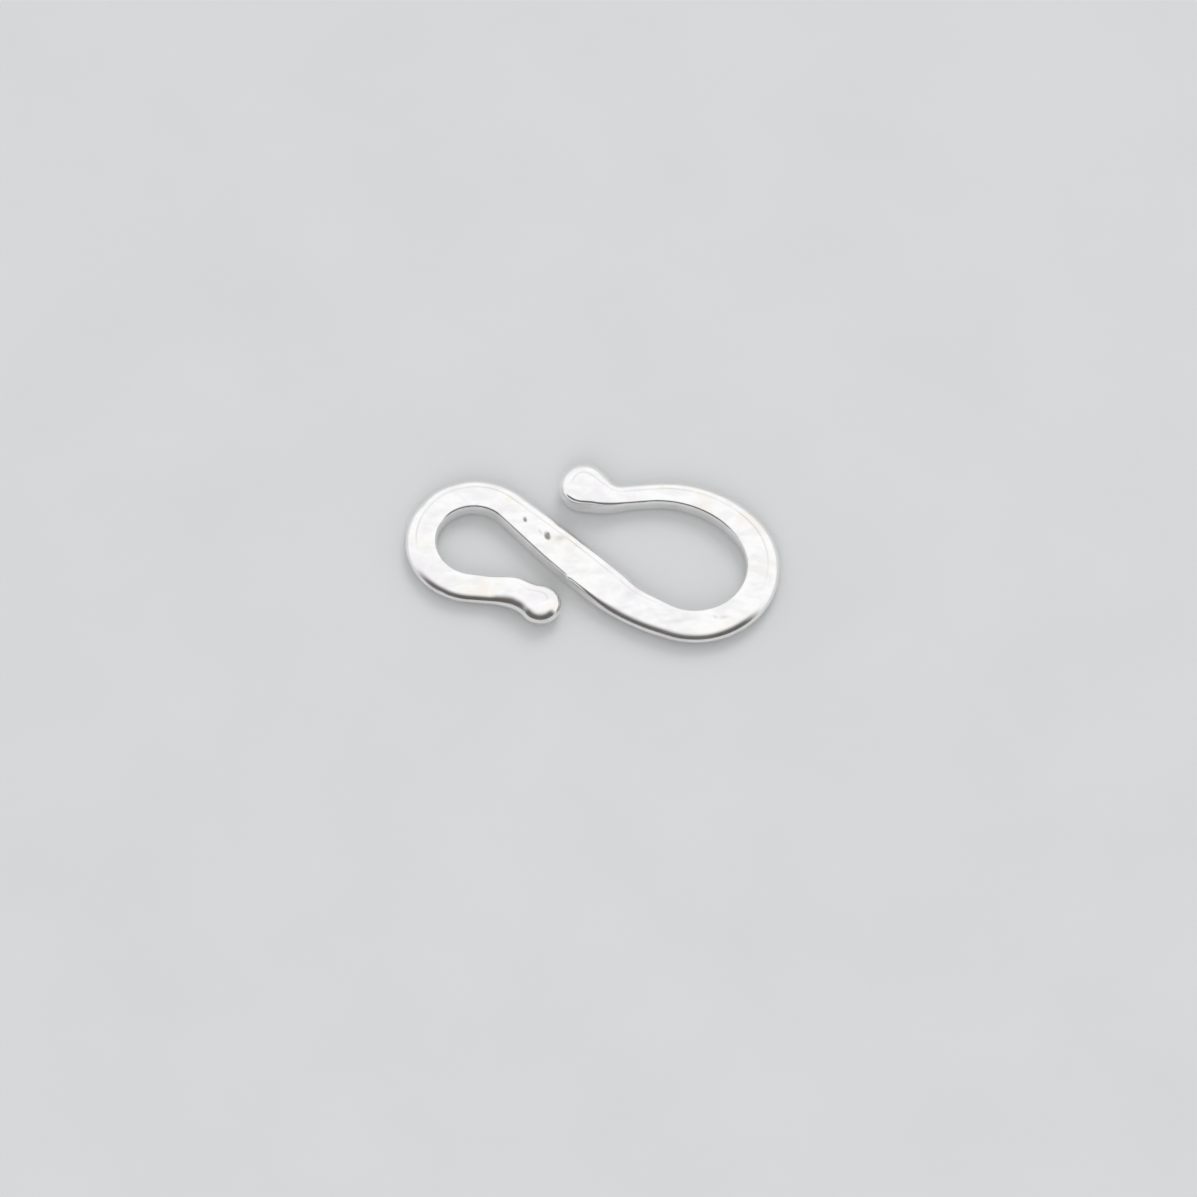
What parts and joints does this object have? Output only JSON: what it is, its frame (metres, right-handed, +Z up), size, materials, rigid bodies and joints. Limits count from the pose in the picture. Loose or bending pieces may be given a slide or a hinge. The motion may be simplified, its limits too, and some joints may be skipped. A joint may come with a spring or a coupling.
{
  "type": "s hook clasp",
  "caption": "Flat cast silver S hook clasp with a larger and a smaller open hook, each ending in a flattened ball.",
  "frame": {"origin": "under the middle of the bounding box, on the surface that the clasp lies on", "axes": "+X along the clasp towards its larger hook, +Z up, square to the flat faces"},
  "size_m": [0.014, 0.0072, 0.001],
  "materials": {
    "silver": "polished"
  },
  "bodies": {
    "root": {"s_hook": "silver"}
  },
  "joints": []
}
